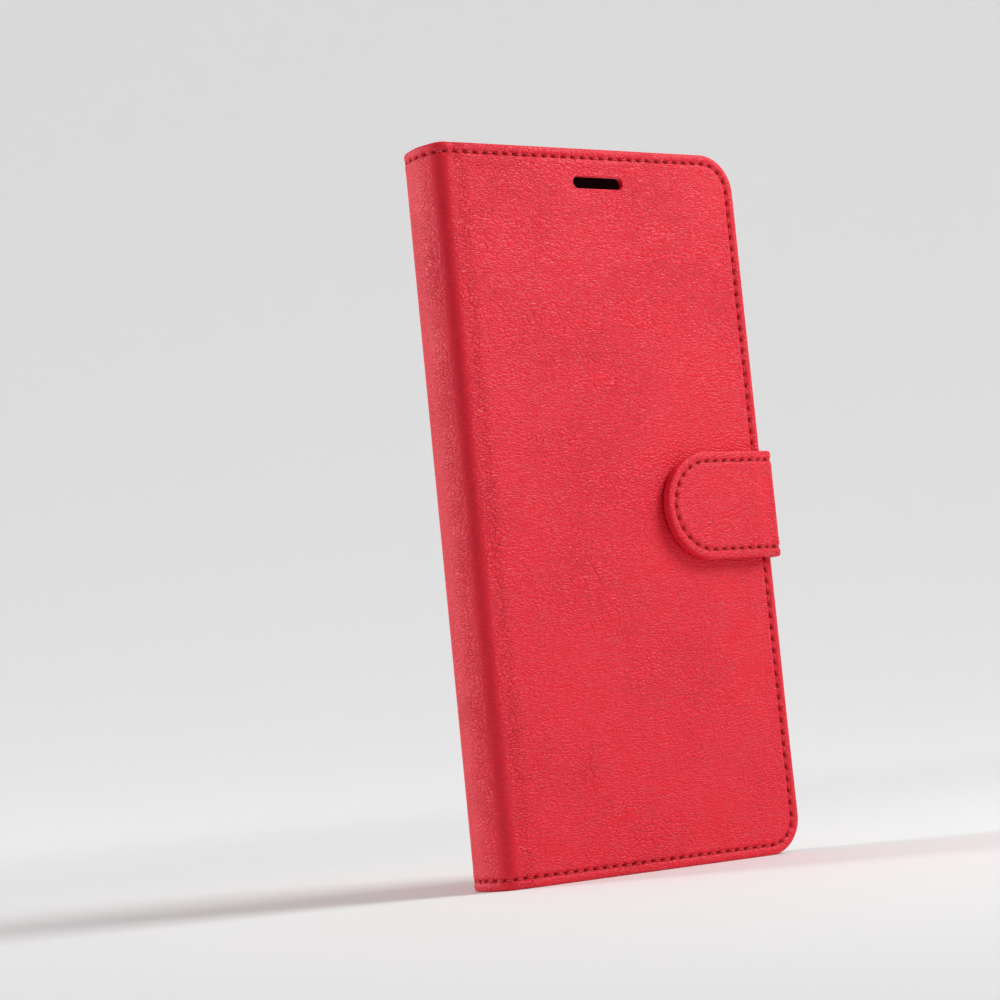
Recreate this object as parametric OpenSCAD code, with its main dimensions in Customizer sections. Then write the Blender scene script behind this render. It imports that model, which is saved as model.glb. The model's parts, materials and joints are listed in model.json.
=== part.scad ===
// Folding wallet case for a slab phone: two stitched leather covers joined by a
// leather spine, a soft moulded tray for the phone and a strap with a magnet.
// Closed and standing on its bottom edge. Millimetres. X is the width (spine at -X,
// free edge at +X), Y the depth (front cover at -Y, back cover at +Y), Z the height.
// Y = 0 is the middle of the back cover's thickness, Z = 0 the bottom edge.

/* [Phone] */
// phone length, bottom edge to top edge
phone_length = 160.9; // [130:0.1:180]
// phone width across the screen
phone_width = 77.8; // [60:0.1:90]
// depth of the hollow that takes the phone, front to back
phone_depth = 8.0; // [6:0.1:12]
// corner radius of the phone seen from the front
phone_corner = 11; // [6:0.5:16]

/* [Tray] */
// play left around the phone
fit_gap = 0.2; // [0.1:0.05:0.6]
// side wall thickness
wall = 1.2; // [0.8:0.1:2.5]
// floor thickness behind the phone
floor_t = 1.0; // [0.6:0.1:2]
// thickness of the lip that holds the phone in
lip_t = 0.9; // [0.5:0.1:2]
// how far the lip reaches over the screen
lip_reach = 1.2; // [0.5:0.1:2.5]
// travel of each button pad
button_travel = 0.4; // [0.2:0.05:0.8]

/* [Covers] */
// thickness of the outer leather
leather_t = 0.8; // [0.5:0.05:1.4]
// thickness of the stiffening board
board_t = 0.6; // [0.3:0.05:1.5]
// thickness of the lining
lining_t = 0.6; // [0.3:0.05:1.2]
// cover beyond the tray at top and bottom
end_margin = 2.15; // [1:0.05:5]
// cover beyond the tray at the free edge
free_margin = 1.6; // [0.8:0.05:5]
// room between tray and spine
spine_gap = 1.8; // [1.2:0.05:4]
// corner radius of the covers at the free edge
cover_corner = 9; // [4:0.5:14]
// outer bend radius between back cover and spine
rear_bend = 4; // [3:0.25:6]
// outer bend radius between spine and front cover
front_bend = 3; // [2.5:0.25:5]
// width of the turned-in leather edge around each cover
turned_edge = 3.5; // [2.5:0.25:6]
// distance of the stitch line from the edge
stitch_inset = 2.3; // [1.5:0.1:3.5]
// distance from stitch to stitch
stitch_pitch = 2.8; // [2:0.1:4]

/* [Stand fold] */
// distance of the stand fold in the back cover from the free edge
crease_from_free = 52; // [40:0.5:60]
// bare leather between the two boards at the stand fold
crease_gap = 2.4; // [1.5:0.1:5]

/* [Camera window] */
// free edge to the near side of the window
window_from_free = 9.6; // [6:0.1:15]
// top edge to the top of the window
window_from_top = 6.1; // [4:0.1:12]
// width of the upright part
window_w = 20; // [12:0.1:26]
// height of the upright part
window_h = 37; // [28:0.1:46]
// reach of the side lobe from the near side of the window
lobe_reach = 32; // [26:0.1:36]
// height of the side lobe
lobe_h = 12; // [8:0.1:14]

/* [Earpiece slot] */
// slot length
slot_l = 14.5; // [8:0.1:20]
// slot height
slot_h = 2.8; // [1.5:0.1:4]
// top edge to the middle of the slot
slot_from_top = 8.1; // [6:0.1:14]

/* [Pockets] */
// thickness of the cash pocket panel
cash_t = 0.5; // [0.3:0.05:0.8]
// thickness of each card slot panel
card_t = 0.4; // [0.3:0.05:0.6]
// air between the pockets and the tray lip
close_gap = 0.4; // [0.2:0.05:1.5]
// height of the card slots
card_h = 95; // [88:0.5:110]
// step between one card slot's edge and the next
card_step = 10; // [6:0.5:12]

/* [Strap] */
// strap width along the height of the case
strap_w = 25.5; // [16:0.1:34]
// height of the strap's centre line
strap_z = 83; // [60:0.5:100]
// reach of the tab over the front cover from the free edge
tab_reach = 32; // [24:0.5:40]
// thickness of each strap leather
strap_t = 0.8; // [0.5:0.05:1.2]
// thickness of the magnet and its stiffener
magnet_t = 0.8; // [0.5:0.05:1.2]
// magnet and strike plate diameter
magnet_d = 14; // [8:0.5:18]
// room between strap and cover edges
strap_gap = 0.6; // [0.4:0.05:1.5]
// room between tab and front cover, stitches included
tab_gap = 0.3; // [0.25:0.05:0.8]

/* [Hidden] */
$fn = 48;
cover_t = leather_t + board_t + lining_t;
case_h = phone_length + 2 * (fit_gap + wall + end_margin);
tray_w = phone_width + 2 * (fit_gap + wall);
tray_h = case_h - 2 * end_margin;
case_w = cover_t + spine_gap + tray_w + free_margin;
xf = case_w / 2;                    // free edge
xs = -case_w / 2;                   // spine outer face
tx1 = xf - free_margin;             // tray, free side
tx0 = tx1 - tray_w;                 // tray, spine side
tz0 = end_margin;                   // tray bottom
tcx = (tx0 + tx1) / 2;
// back cover, outer face to inner face
yb0 = cover_t / 2;
yb1 = yb0 - leather_t;
yb2 = yb1 - board_t;
yb3 = yb2 - lining_t;
// tray: floor, hollow, lip
yt1 = yb3 - floor_t;
yt2 = yt1 - phone_depth;
yt3 = yt2 - lip_t;
// pockets, from the innermost card slot to the cash pocket
yp0 = yt3 - close_gap;
yp1 = yp0 - card_t;
yp2 = yp1 - card_t;
yp3 = yp2 - card_t;
yf3 = yp3 - cash_t;                 // front cover, inner face
yf2 = yf3 - lining_t;
yf1 = yf2 - board_t;
yf0 = yf1 - leather_t;              // front cover, outer face
case_d = yb0 - yf0;
// bends
rbx = xs + rear_bend;
rby = yb0 - rear_bend;
fbx = xs + front_bend;
fby = yf0 + front_bend;
crease_x = xf - crease_from_free;
board_x = fbx + 4.5;                // front board starts clear of the bend
// strap: inner radius and outer radius of both bends
sr0 = 0.3;
sr1 = sr0 + 2 * strap_t;
sbx = xf + strap_gap - sr0;         // bend centres, x
sby = (yb1 + yb2) / 2 - (sr0 + sr1) / 2; // rear bend centre, y
sfy = yf0 - tab_gap + sr0;          // front bend centre, y
tab_end = xf - tab_reach;
z0s = strap_z - strap_w / 2;
z1s = strap_z + strap_w / 2;
yk0 = yf0 - tab_gap;                // tab, face against the cover
yk1 = yk0 - strap_t;
yk2 = yk1 - magnet_t;
yk3 = yk2 - strap_t;                // tab, outer face
mag_x = tab_end + strap_w / 2 + 1;
slot_x = tcx + 0.9;
slot_z = case_h - slot_from_top;
win_x = xf - window_from_free - window_w / 2;
win_z = case_h - window_from_top - window_h / 2;
ty = (yt1 + yt2) / 2;               // middle of the phone's thickness

// a flat X-Z shape given depth from y_low to y_high
module slab(y_low, y_high) {
  translate([0, y_high, 0]) rotate([90, 0, 0]) linear_extrude(y_high - y_low) children();
}

// rectangle with both right-hand corners rounded
module leaf(x0, x1, z0, z1, r) {
  translate([x0, z0]) square([x1 - r - x0, z1 - z0]);
  translate([x0, z0 + r]) square([x1 - x0, z1 - z0 - 2 * r]);
  translate([x1 - r, z0 + r]) circle(r);
  translate([x1 - r, z1 - r]) circle(r);
}

// rectangle with four rounded corners
module pane(x0, x1, z0, z1, r) {
  translate([x0 + r, z0]) square([x1 - x0 - 2 * r, z1 - z0]);
  translate([x0, z0 + r]) square([x1 - x0, z1 - z0 - 2 * r]);
  for (x = [x0 + r, x1 - r]) for (z = [z0 + r, z1 - r]) translate([x, z]) circle(r);
}

// slot with round ends, length l along x
module oblong(l, h) {
  translate([-(l - h) / 2, -h / 2]) square([l - h, h]);
  for (s = [-1, 1]) translate([s * (l - h) / 2, 0]) circle(h / 2);
}

// camera window: upright pill, side lobe and the two fillets between them
module window(g = 0) {
  w = window_w + 2 * g; h = window_h + 2 * g; l = lobe_h + 2 * g; f = 2.5 - g;
  xe = xf - window_from_free - lobe_reach - g;
  xw = win_x - w / 2;
  translate([win_x, win_z]) rotate(90) oblong(h, w);
  translate([xe + l / 2, win_z - l / 2]) square([win_x - xe - l / 2, l]);
  translate([xe + l / 2, win_z]) circle(l / 2);
  if (f > 0.3) for (m = [0, 1]) translate([xw, win_z]) mirror([0, m]) difference() {
    translate([-f, l / 2 - 1]) square([f + 1, f + 1]);
    translate([-f, l / 2 + f]) circle(f);
  }
}

// quarter ring seen from above, quadrant q counted from +X +Y
module bend(x, y, r0, r1, q, h) {
  translate([x, y, 0]) rotate([0, 0, 90 * q]) linear_extrude(h) difference() {
    intersection() { circle(r1); square(r1 + 1); }
    circle(r0);
  }
}

// stitches along a straight X-Z line
module run(x0, z0, x1, z1) {
  l = sqrt(pow(x1 - x0, 2) + pow(z1 - z0, 2));
  n = max(1, round(l / stitch_pitch));
  for (i = [0 : n - 1])
    translate([x0 + (x1 - x0) * (i + 0.5) / n, z0 + (z1 - z0) * (i + 0.5) / n])
      rotate(atan2(z1 - z0, x1 - x0)) square([0.68 * stitch_pitch, 0.65], center = true);
}

// stitches around an arc of radius r from angle a0 to a1
module arc_run(x, z, r, a0, a1) {
  n = max(1, round(abs(a1 - a0) * PI / 180 * r / stitch_pitch));
  for (i = [0 : n - 1]) translate([x, z]) rotate(a0 + (a1 - a0) * (i + 0.5) / n)
    translate([r, 0]) square([0.65, 0.66 * stitch_pitch], center = true);
}

// stitch line around a cover's three free edges, from x0
module cover_run(x0) {
  s = stitch_inset; c = cover_corner;
  run(x0, s, xf - c, s);
  run(x0, case_h - s, xf - c, case_h - s);
  run(xf - s, c, xf - s, case_h - c);
  arc_run(xf - c, c, c - s, -90, 0);
  arc_run(xf - c, case_h - c, c - s, 0, 90);
}

// board shape kept inside the turned edge
module board_face(x0) {
  leaf(x0, xf - turned_edge - 0.1, turned_edge + 0.1, case_h - turned_edge - 0.1,
    cover_corner - turned_edge);
}

module back_outer_leather() color([0.91, 0.19, 0.26]) difference() {
  union() {
    slab(yb1, yb0) difference() { leaf(rbx, xf, 0, case_h, cover_corner); window(); }
    slab(yb2, yb1) difference() {
      leaf(rbx, xf, 0, case_h, cover_corner);
      difference() {
        leaf(rbx - 1, xf - turned_edge, turned_edge, case_h - turned_edge,
          cover_corner - turned_edge);
        window(2);
      }
      window();
      translate([xf - 10, z0s - 0.1]) square([11, strap_w + 0.2]);
    }
  }
  // stand fold pressed into the face
  translate([crease_x, yb0 + 3.75, -1]) cylinder(r = 4, h = case_h + 2);
}

module back_board_wide() color([0.72, 0.62, 0.48]) slab(yb2, yb1) difference() {
  board_face(crease_x + crease_gap / 2);
  window(2.1);
  translate([xf - 10.1, z0s - 0.2]) square([11, strap_w + 0.4]);
}

module back_board_strip() color([0.72, 0.62, 0.48]) slab(yb2, yb1)
  translate([rbx + 1, turned_edge + 0.1])
    square([crease_x - crease_gap / 2 - rbx - 1, case_h - 2 * turned_edge - 0.2]);

module back_lining() color([0.78, 0.14, 0.2]) slab(yb3, yb2) difference() {
  leaf(rbx, xf - 0.3, 0.3, case_h - 0.3, cover_corner - 0.3);
  window(0.2);
}

module strap_anchor() color([0.8, 0.15, 0.2])
  translate([xf - 9.9, yb2, z0s]) cube([sbx - xf + 9.9, board_t, strap_w]);

module back_stitching() color([0.62, 0.05, 0.1]) slab(yb0, yb0 + 0.2) cover_run(rbx + 1);

// outline of the tray at inset g
module tray_face(g) {
  pane(tx0 + g, tx1 - g, tz0 + g, tz0 + tray_h - g, phone_corner + fit_gap + wall - g);
}

// window for one pad in a side wall; s = 1 at the free side, -1 at the spine side
module pad_window(s, z, l) {
  x = s > 0 ? tx1 : tx0;
  translate([x - s * wall / 2, ty, z]) rotate([0, 90, 0])
    linear_extrude(wall + 2, center = true) oblong(l + 0.6, 3.6);
  translate([x - s * (wall - 0.25), ty, z]) rotate([0, 90, 0])
    linear_extrude(0.5 + 0.001, center = true) oblong(l + 2.6, 5.2);
}

// pad with a thin flange behind the wall
module pad(s, z, l) {
  x = s > 0 ? tx1 : tx0;
  translate([x - s * (wall - 0.5 - 0.6) / 2 , ty, z]) rotate([0, 90, 0])
    linear_extrude(wall - 0.5 + 0.6, center = true) oblong(l, 3.0);
  translate([x - s * (wall - 0.275), ty, z]) rotate([0, 90, 0])
    linear_extrude(0.45, center = true) oblong(l + 2, 4.6);
}

module phone_tray() color([0.16, 0.16, 0.16]) difference() {
  hull() {
    slab(yb3 - 0.1, yb3) tray_face(1.3);
    slab(yb3 - 0.8, yb3 - 0.4) tray_face(0.35);
    slab(yt3 + 0.6, yb3 - 1.6) tray_face(0);
    slab(yt3, yt3 + 0.1) tray_face(0.5);
  }
  slab(yt2, yt1) pane(tx0 + wall, tx1 - wall, tz0 + wall, tz0 + tray_h - wall,
    phone_corner + fit_gap);
  slab(yt3 - 1, yt2 + 0.5) pane(tx0 + wall + lip_reach, tx1 - wall - lip_reach,
    tz0 + wall + lip_reach, tz0 + tray_h - wall - lip_reach,
    phone_corner + fit_gap - lip_reach);
  slab(yt1 - 0.5, yb3 + 1) window(0.4);
  // charging port, sound slots either side of it
  translate([tcx, ty, tz0 - 1]) linear_extrude(wall + 2) oblong(13, 6.5);
  for (s = [-1, 1]) translate([tcx + s * 20, ty, tz0 - 1])
    linear_extrude(wall + 2) oblong(13, 2.6);
  // lanyard recess and its two oblong holes
  translate([tx1 - 0.4, ty, 29]) rotate([0, 90, 0]) linear_extrude(1) oblong(10, 4.4);
  for (s = [-1, 1]) translate([tx1 - wall - 1, ty, 29 + s * 2.8]) rotate([0, 90, 0])
    linear_extrude(3) oblong(2.6, 1.8);
  pad_window(1, case_h - 59.5, 20);
  pad_window(-1, case_h - 34, 7);
  pad_window(-1, case_h - 49, 12);
  pad_window(-1, case_h - 64.5, 12);
}

module side_button_pad() color([0.2, 0.2, 0.2]) pad(1, case_h - 59.5, 20);
module action_button_pad() color([0.2, 0.2, 0.2]) pad(-1, case_h - 34, 7);
module volume_up_pad() color([0.2, 0.2, 0.2]) pad(-1, case_h - 49, 12);
module volume_down_pad() color([0.2, 0.2, 0.2]) pad(-1, case_h - 64.5, 12);

module rear_bend_leather() color([0.91, 0.19, 0.26])
  bend(rbx, rby, rear_bend - leather_t - board_t, rear_bend, 1, case_h);
module rear_bend_lining() color([0.78, 0.14, 0.2]) translate([0, 0, 0.3])
  bend(rbx, rby, rear_bend - cover_t, rear_bend - leather_t - board_t, 1, case_h - 0.6);

module spine_leather() color([0.91, 0.19, 0.26]) difference() {
  translate([xs, fby, 0]) cube([leather_t + board_t, rby - fby, case_h]);
  translate([xs + leather_t, fby + 1, turned_edge])
    cube([board_t + 1, rby - fby - 2, case_h - 2 * turned_edge]);
}
module spine_board() color([0.72, 0.62, 0.48])
  translate([xs + leather_t, fby + 1.1, turned_edge + 0.1])
    cube([board_t, rby - fby - 2.2, case_h - 2 * turned_edge - 0.2]);
module spine_lining() color([0.78, 0.14, 0.2])
  translate([xs + leather_t + board_t, fby, 0.3]) cube([lining_t, rby - fby, case_h - 0.6]);
module spine_stitching() color([0.62, 0.05, 0.1])
  for (z = [stitch_inset, case_h - stitch_inset]) for (i = [-1 : 1])
    translate([xs - 0.1, (fby + rby) / 2 + i * stitch_pitch, z])
      cube([0.2, 0.68 * stitch_pitch, 0.65], center = true);

module front_bend_leather() color([0.85, 0.14, 0.2])
  bend(fbx, fby, front_bend - leather_t - board_t, front_bend, 2, case_h);
module front_bend_lining() color([0.78, 0.14, 0.2]) translate([0, 0, 0.3])
  bend(fbx, fby, front_bend - cover_t, front_bend - leather_t - board_t, 2, case_h - 0.6);

module ear_slot(g) translate([slot_x, slot_z]) oblong(slot_l + 2 * g, slot_h + 2 * g);

module front_outer_leather() color([0.91, 0.19, 0.26]) difference() {
  union() {
    slab(yf0, yf1) difference() { leaf(fbx, xf, 0, case_h, cover_corner); ear_slot(0); }
    slab(yf1, yf2) difference() {
      leaf(fbx, xf, 0, case_h, cover_corner);
      difference() {
        leaf(fbx - 1, xf - turned_edge, turned_edge, case_h - turned_edge,
          cover_corner - turned_edge);
        ear_slot(1.5);
      }
      ear_slot(0);
    }
  }
  // soft groove beside the bend
  translate([board_x - 2.2, yf0 - 5.7, -1]) cylinder(r = 6, h = case_h + 2);
}

module front_board() color([0.72, 0.62, 0.48]) slab(yf1, yf2) difference() {
  board_face(board_x);
  ear_slot(1.6);
  translate([mag_x, strap_z]) circle(magnet_d / 2 + 0.1);
}
module strike_plate() color([0.7, 0.7, 0.72])
  slab(yf1, yf2) translate([mag_x, strap_z]) circle(magnet_d / 2);

module front_lining() color([0.78, 0.14, 0.2]) slab(yf2, yf3) difference() {
  leaf(fbx, xf - 0.3, 0.3, case_h - 0.3, cover_corner - 0.3);
  ear_slot(0.2);
}

// pocket panel open towards the spine, with a thumb notch in its edge
module pocket(x0, z0, z1, r) difference() {
  leaf(x0, xf - 1.2, z0, z1, r);
  translate([x0 - 4, (z0 + z1) / 2]) circle(10);
}
card_z = case_h / 2 - 4;
card_x = xf - 43;
module cash_pocket() color([0.86, 0.17, 0.23]) slab(yf3, yp3)
  pocket(card_x - 3 * card_step + 2, 1.2, case_h - 16, cover_corner - 1.2);
module card_slot_outer() color([0.88, 0.18, 0.24]) slab(yp3, yp2)
  pocket(card_x - 2 * card_step + 2, card_z - card_h / 2, card_z + card_h / 2, 1);
module card_slot_middle() color([0.88, 0.18, 0.24]) slab(yp2, yp1)
  pocket(card_x - card_step + 2, card_z - card_h / 2, card_z + card_h / 2, 1);
module card_slot_inner() color([0.88, 0.18, 0.24]) slab(yp1, yp0)
  pocket(card_x + 2, card_z - card_h / 2, card_z + card_h / 2, 1);

module front_stitching() color([0.62, 0.05, 0.1]) slab(yf0 - 0.2, yf0) cover_run(board_x);

module strap_root_bend() color([0.91, 0.19, 0.26])
  translate([0, 0, z0s]) bend(sbx, sby, sr0, sr1, 0, strap_w);
module strap_web_leather() color([0.91, 0.19, 0.26])
  translate([sbx + sr0 + strap_t, sfy, z0s]) cube([strap_t, sby - sfy, strap_w]);
module strap_web_lining() color([0.78, 0.14, 0.2])
  translate([sbx + sr0, sfy, z0s]) cube([strap_t, sby - sfy, strap_w]);
module web_stitching() color([0.62, 0.05, 0.1])
  for (z = [z0s + stitch_inset, z1s - stitch_inset]) for (i = [-2 : 2])
    translate([sbx + sr1 + 0.1, (sby + sfy) / 2 + i * stitch_pitch * 0.93, z])
      cube([0.2, 0.68 * stitch_pitch, 0.65], center = true);
module strap_front_bend() color([0.91, 0.19, 0.26])
  translate([0, 0, z0s]) bend(sbx, sfy, sr0, sr1, 3, strap_w);

// tab shape at inset g: straight from the bend, round at its end
module tab_face(g, x1 = sbx) {
  r = strap_w / 2 - g;
  translate([tab_end + strap_w / 2, strap_z - r]) square([x1 - tab_end - strap_w / 2, 2 * r]);
  translate([tab_end + strap_w / 2, strap_z]) circle(r);
}
module tab_leather() color([0.91, 0.19, 0.26]) {
  slab(yk3, yk2) tab_face(0);
  slab(yk2, yk1) difference() { tab_face(0); tab_face(3, sbx - 3); }
}
module tab_stiffener() color([0.72, 0.62, 0.48]) slab(yk2, yk1) difference() {
  tab_face(3.1, sbx - 3.1);
  translate([mag_x, strap_z]) circle(magnet_d / 2 + 0.1);
}
module tab_magnet() color([0.6, 0.6, 0.62])
  slab(yk2, yk1) translate([mag_x, strap_z]) circle(magnet_d / 2);
module tab_lining() color([0.78, 0.14, 0.2]) slab(yk1, yk0) tab_face(0.2);
module tab_stitching() color([0.62, 0.05, 0.1]) slab(yk3 - 0.2, yk3) {
  r = strap_w / 2 - stitch_inset;
  for (s = [-1, 1]) run(tab_end + strap_w / 2, strap_z + s * r, sbx - 0.6, strap_z + s * r);
  arc_run(tab_end + strap_w / 2, strap_z, r, 90, 270);
}

back_outer_leather();
back_board_wide();
back_board_strip();
back_lining();
phone_tray();
strap_anchor();
back_stitching();
side_button_pad();
action_button_pad();
volume_up_pad();
volume_down_pad();
rear_bend_leather();
rear_bend_lining();
spine_leather();
spine_board();
spine_lining();
spine_stitching();
front_bend_leather();
front_bend_lining();
front_outer_leather();
front_board();
strike_plate();
front_lining();
cash_pocket();
card_slot_outer();
card_slot_middle();
card_slot_inner();
front_stitching();
strap_root_bend();
strap_web_leather();
strap_web_lining();
web_stitching();
strap_front_bend();
tab_leather();
tab_stiffener();
tab_magnet();
tab_lining();
tab_stitching();
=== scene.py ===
# %% [markdown]
# # A wallet case for a phone
# The case is three flat panels of covered board joined by leather hinges: a back, a narrow
# spine and a front. A strap comes out of the back cover's edge and its padded tab snaps on the
# front. The CAD model already gives every part its size and its place. This lesson gives them
# their looks, so it starts by loading that model as a fixed frame and keeping its box.

# %% Load the frame
import json
import math
import bpy
import numpy as np
from mathutils import Matrix, Vector, geometry


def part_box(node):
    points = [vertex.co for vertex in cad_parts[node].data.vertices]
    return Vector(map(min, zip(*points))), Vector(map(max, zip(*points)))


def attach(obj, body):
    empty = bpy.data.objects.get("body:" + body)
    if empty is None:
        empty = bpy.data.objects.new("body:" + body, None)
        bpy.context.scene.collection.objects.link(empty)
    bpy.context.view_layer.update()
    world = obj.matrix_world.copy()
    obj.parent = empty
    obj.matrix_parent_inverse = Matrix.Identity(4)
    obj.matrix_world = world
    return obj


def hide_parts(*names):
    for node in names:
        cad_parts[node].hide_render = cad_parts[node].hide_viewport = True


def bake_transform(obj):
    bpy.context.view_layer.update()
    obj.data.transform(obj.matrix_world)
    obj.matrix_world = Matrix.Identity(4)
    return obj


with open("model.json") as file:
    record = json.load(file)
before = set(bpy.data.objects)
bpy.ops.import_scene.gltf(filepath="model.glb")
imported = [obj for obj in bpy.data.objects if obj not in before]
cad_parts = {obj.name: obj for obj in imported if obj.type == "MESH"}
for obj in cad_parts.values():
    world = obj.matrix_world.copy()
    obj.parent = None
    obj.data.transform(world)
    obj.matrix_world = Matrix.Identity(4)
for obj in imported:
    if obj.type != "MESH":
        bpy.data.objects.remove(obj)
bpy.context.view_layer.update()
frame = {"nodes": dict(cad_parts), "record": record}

# %% [markdown]
# ## The camera
# The camera stands low, to the left of the case, and looks slightly up, so the spine and the
# front are both seen. It is placed by its own axes: right, up and back are the three columns of
# its rotation. A long lens keeps the edges nearly parallel.

# %% Camera
cam_data = bpy.data.cameras.new("camera")
cam_data.lens, cam_data.sensor_width = 100.8215, 36.0
camera = bpy.data.objects.new("camera", cam_data)
bpy.context.scene.collection.objects.link(camera)
right = (0.81106, -0.576755, -0.09765)
up = (0.029504, -0.126387, 0.991542)
back = (-0.584219, -0.807081, -0.085491)
turn = Matrix((right, up, back)).transposed()
camera.matrix_world = Matrix.Translation((-0.400917, -0.52023, 0.032801)) @ turn.to_4x4()
cam_data.clip_start, cam_data.clip_end = 0.01, 50
bpy.context.scene.camera = camera
print("camera at", [round(v, 3) for v in camera.location], "m")

# %% [markdown]
# ## One way to make every mesh
# Each shape below is worked out in millimetres as whole arrays, and this helper turns it into a
# Blender mesh in metres. Texture places are written per corner from a (u, v) per vertex, and
# marks are numbers per vertex that a material can read, such as how deep in a stitch hole a
# point lies. A closed shell whose signed volume is negative is inside out, so it is turned.

# %% Mesh helper
MM, UV_MM = 0.001, 100.0  # metres in a millimetre, and millimetres in one unit of (u, v)


def signed_volume(points, faces):
    """A sixth of the sum of a . (b x c) over each face's fan of triangles (divergence theorem)."""
    total = 0.0
    for group in faces:
        for k in range(1, group.shape[1] - 1):
            a, b, c = points[group[:, 0]], points[group[:, k]], points[group[:, k + 1]]
            total += np.einsum("ij,ij->", a, np.cross(b, c)) / 6
    return total


def make_piece(name, points, faces, uv=None, marks=None, sharp=60):
    """A mesh object from points in mm and a list of face arrays, one array for each number of corners."""
    faces = [np.asarray(f).reshape(-1, np.shape(f)[-1]) for f in faces if np.size(f)]
    if signed_volume(points, faces) < 0:
        faces = [f[:, ::-1] for f in faces]
    mesh = bpy.data.meshes.new(name)
    mesh.from_pydata((points * MM).tolist(), [], sum((f.tolist() for f in faces), []))
    mesh.polygons.foreach_set("use_smooth", np.ones(len(mesh.polygons), bool))
    if uv is not None:
        corner = np.empty(len(mesh.loops), np.int32)
        mesh.loops.foreach_get("vertex_index", corner)
        mesh.uv_layers.new(name="UVMap").data.foreach_set("uv", uv[corner].astype(np.float32).ravel())
    for key, values in (marks or {}).items():
        mesh.attributes.new(key, "FLOAT", "POINT").data.foreach_set("value", np.asarray(values, np.float32))
    mesh.set_sharp_from_angle(angle=math.radians(sharp))
    mesh.update()
    piece = bpy.data.objects.new(name, mesh)
    bpy.context.scene.collection.objects.link(piece)
    size = np.ptp(points, axis=0)
    print(f"{name}: {len(points)} points, {sum(len(f) for f in faces)} faces, {size.round(1).tolist()} mm")
    return piece


def hump(x, centre, width):
    """A smooth bump of height 1: e to the minus of the squared distance from its centre in widths."""
    return np.exp(-(((x - centre) / width) ** 2))


def ease(x, start, end):
    """0 before start, 1 after end, and 3t^2 - 2t^3 between them."""
    t = np.clip((x - start) / (end - start), 0, 1)
    return t * t * (3 - 2 * t)


def plateau(x, a, b, c, d):
    """0 before a, 1 from b to c, and 0 after d, eased between them."""
    return ease(x, a, b) * (1 - ease(x, c, d))


def rounding(d, r):
    """How far a rounded edge of radius r has dropped at distance d from the edge: r - sqrt(r^2 - (r - d)^2)."""
    gap = np.clip(r - d, 0, r)
    return r - np.sqrt(np.maximum(r * r - gap * gap, 0))


# %% [markdown]
# ## A sheet of leather as rings
# A cover is one sheet wrapped round the spine and bent into the cover's plane, so it is drawn
# flat first. Its flat outline starts at the middle of the spine, goes along the bottom, round
# the two free corners and back along the top. Copies of that outline, each set a little further
# in, give rows of points that follow the edge. The rolled edge, the stitch groove and every
# stitch hole then fall exactly on rows of points, however the corner turns.

# %% Rings and bands
def edge_ring(length, height, radius, d, counts):
    """(s, z) round the outline set in by d: a straight, a quarter circle, the free side, and the
    same mirrored."""
    angle = np.linspace(-math.pi / 2, 0, counts[1] + 1)
    low = np.stack([np.linspace(0, length - radius, counts[0] + 1), np.full(counts[0] + 1, d)], -1)
    corner = [length - radius, radius] + (radius - d) * np.stack([np.cos(angle), np.sin(angle)], -1)
    half = np.concatenate([low, corner[1:]])
    z = np.linspace(radius, height - radius, counts[2] + 1)[1:] if counts[2] else np.zeros(0)
    side = np.stack([np.full(len(z), length - d), z], -1)
    top = half[::-1] * [1, -1] + [0, height]
    return np.concatenate([half, side, top[1:]])


def bands(first, rings, count, closed):
    """Quads between each ring of count points and the next."""
    k, i = np.arange(rings - 1)[:, None], np.arange(count if closed else count - 1)[None]
    j = (i + 1) % count
    quads = np.stack([k * count + i, k * count + j, (k + 1) * count + j, (k + 1) * count + i], -1)
    return first + quads.reshape(-1, 4)


def inside_loop(points, loop):
    """Even-odd rule: a point is inside where a ray to its right crosses the loop an odd number of times."""
    inside = np.zeros(len(points), bool)
    for (x0, z0), (x1, z1) in zip(loop, np.roll(loop, -1, 0)):
        cross = (points[:, 1] < z0) != (points[:, 1] < z1)
        t = (points[:, 1] - z0) / (z1 - z0 if z1 != z0 else 1)
        inside ^= cross & (points[:, 0] < x0 + t * (x1 - x0))
    return inside


def fill(points, loop, holes, inner):
    """Triangles inside loop and outside the holes, through the inner points; all are indices."""
    ids = np.concatenate([loop, *holes, inner]).astype(int)
    edges, start = [], 0
    for part in [loop, *holes]:
        n = np.arange(len(part))
        edges += np.stack([start + n, start + (n + 1) % len(part)], -1).tolist()
        start += len(part)
    result = geometry.delaunay_2d_cdt([Vector(p) for p in points[ids].tolist()], edges, [], 1, 1e-6)
    origin = np.array([o[0] if o else -1 for o in result[3]])
    triangles = ids[origin[np.array(result[2])]]
    middle = points[triangles].mean(1)
    for hole in holes:
        outside = ~inside_loop(middle, points[hole])
        triangles, middle = triangles[outside], middle[outside]
    a, b, c = (points[triangles[:, k]] for k in range(3))
    turned = (b - a)[:, 0] * (c - a)[:, 1] - (b - a)[:, 1] * (c - a)[:, 0] < 0
    triangles[turned] = triangles[turned][:, ::-1]
    return triangles


def far_from(points, loop, gap):
    """True where a point is further than gap from every point of a dense loop."""
    best = np.full(len(points), 1e9)
    for part in np.array_split(loop, max(1, len(loop) // 40)):
        best = np.minimum(best, np.hypot(*(points[:, None] - part[None]).transpose(2, 0, 1)).min(1))
    return best > gap


# %% [markdown]
# The sheet itself is closed: an upper skin with the relief, an edge, and a plain underside.
# The rings are listed from the middle of the underside, out to the edge, and in again over the
# top, so one rule makes all the quads and they all face outwards. Round a hole they run the
# same way. Every eighth column of the outline is a stitch hole.

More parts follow.
